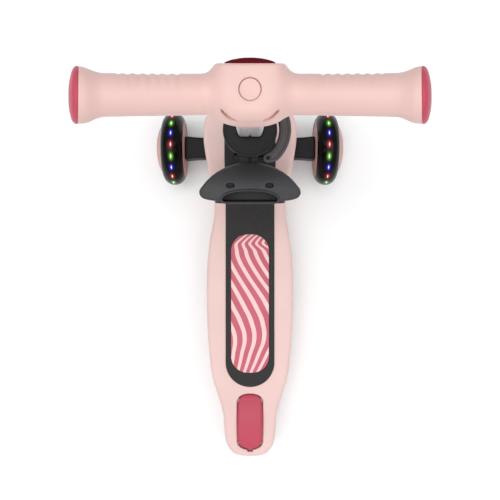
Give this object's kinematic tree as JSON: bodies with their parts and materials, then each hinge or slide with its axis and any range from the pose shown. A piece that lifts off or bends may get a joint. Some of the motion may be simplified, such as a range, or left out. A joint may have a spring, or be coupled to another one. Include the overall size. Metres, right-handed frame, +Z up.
{
  "type": "kick scooter",
  "caption": "Toddler kick scooter with lean-to-steer front wheels, moulded deck, foot brake, fold-up seat and a height-adjustable T-handlebar.",
  "frame": {"origin": "on the floor under the middle of the scooter's length and width", "axes": "+Z up, +Y the way the scooter rolls, +X to the rider's right"},
  "size_m": [0.3094, 0.574, 0.6905],
  "materials": {
    "pink_plastic": "satin moulded",
    "magenta_plastic": "satin moulded",
    "lens_red": "gloss tinted",
    "grip_charcoal": "matt textured",
    "insert_pattern": "printed in pink and magenta waves",
    "black_plastic": "satin moulded nylon",
    "seat_black": "satin moulded",
    "tyre_black": "glossy smoked polyurethane",
    "tyre_rear": "satin polyurethane",
    "light_strip": "translucent with coloured lamps",
    "bush_rubber": "matt",
    "tube_aluminium": "satin anodised",
    "steel": "zinc plated"
  },
  "bodies": {
    "deck": {"deck_shell": "pink_plastic", "grip_mat": "grip_charcoal", "patterned_insert": "insert_pattern", "kingpin": "steel", "kingpin_nut": "steel", "steer_bushing_upper": "bush_rubber", "steer_bushing_lower": "bush_rubber", "centring_spring_left": "steel", "centring_spring_right": "steel", "stem_column": "black_plastic", "stem_screw_1": "steel", "stem_screw_2": "steel", "stem_screw_3": "steel", "clamp_collar": "black_plastic", "clamp_skewer": "steel", "clamp_nut": "steel", "lever_pin": "steel", "seat_bracket": "black_plastic", "seat_bracket_screw": "steel", "seat_hinge_pin": "steel", "rear_axle": "steel", "rear_axle_nut": "steel", "rear_spacer_left": "steel", "rear_spacer_right": "steel", "brake_hinge_pin": "steel", "brake_spring": "steel"},
    "truck": {"truck_beam": "black_plastic", "front_axle_left": "steel", "front_axle_right": "steel", "front_axle_nut_left": "steel", "front_axle_nut_right": "steel"},
    "front_wheel_left": {"front_hub_left": "pink_plastic", "front_tyre_left": "tyre_black", "light_ring_left": "light_strip", "wheel_cap_left": "pink_plastic", "inner_bearing_left": "steel", "outer_bearing_left": "steel"},
    "front_wheel_right": {"front_hub_right": "pink_plastic", "front_tyre_right": "tyre_black", "light_ring_right": "light_strip", "wheel_cap_right": "pink_plastic", "inner_bearing_right": "steel", "outer_bearing_right": "steel"},
    "rear_wheel": {"rear_hub": "pink_plastic", "rear_tyre": "tyre_rear", "rear_bearing_left": "steel", "rear_bearing_right": "steel"},
    "brake": {"brake_fender": "magenta_plastic"},
    "handlebar": {"inner_tube": "tube_aluminium", "handlebar": "pink_plastic", "end_cap_left": "magenta_plastic", "end_cap_right": "magenta_plastic", "hub_lens": "lens_red", "button_spring": "steel"},
    "hub_button": {"hub_button": "pink_plastic"},
    "clamp_lever": {"clamp_lever": "black_plastic"},
    "seat": {"seat_shell": "seat_black", "seat_back_plate": "seat_black", "seat_screw_left": "steel", "seat_screw_right": "steel"}
  },
  "joints": [
    {"name": "lean_steer", "type": "hinge", "parent": "deck", "child": "truck", "pos_m": [0, 0.227, 0.062], "axis": [0, 0.5736, 0.8192], "range_deg": [-12, 12], "stiffness_Nm_per_rad": 30, "deforming": ["centring_spring_left", "centring_spring_right"]},
    {"name": "front_wheel_left_spin", "type": "hinge", "parent": "truck", "child": "front_wheel_left", "pos_m": [-0.126, 0.227, 0.06], "axis": [1, 0, 0], "continuous": true},
    {"name": "front_wheel_right_spin", "type": "hinge", "parent": "truck", "child": "front_wheel_right", "pos_m": [0.126, 0.227, 0.06], "axis": [1, 0, 0], "continuous": true},
    {"name": "rear_wheel_spin", "type": "hinge", "parent": "deck", "child": "rear_wheel", "pos_m": [0, -0.226, 0.04], "axis": [1, 0, 0], "continuous": true},
    {"name": "brake_press", "type": "hinge", "parent": "deck", "child": "brake", "pos_m": [0, -0.183, 0.056], "axis": [1, 0, 0], "range_deg": [0, 5], "stiffness_Nm_per_rad": 2, "springref_deg": -5.73, "deforming": ["brake_spring"]},
    {"name": "handlebar_height", "type": "slide", "parent": "deck", "child": "handlebar", "axis": [0, -0.1097, 0.994], "range_m": [-0.15, 0.03]},
    {"name": "hub_button_press", "type": "slide", "parent": "handlebar", "child": "hub_button", "axis": [0, 0.1097, -0.994], "range_m": [0, 0.0025], "stiffness_N_per_m": 400, "springref_m": -0.001, "deforming": ["button_spring"]},
    {"name": "clamp_lever_turn", "type": "hinge", "parent": "deck", "child": "clamp_lever", "pos_m": [0.022, 0.17213, 0.34123], "axis": [0, 0.1097, -0.994], "range_deg": [0, 140]},
    {"name": "seat_fold", "type": "hinge", "parent": "deck", "child": "seat", "pos_m": [0, 0.1598, 0.16788], "axis": [1, 0, 0], "range_deg": [0, 83.7]}
  ]
}
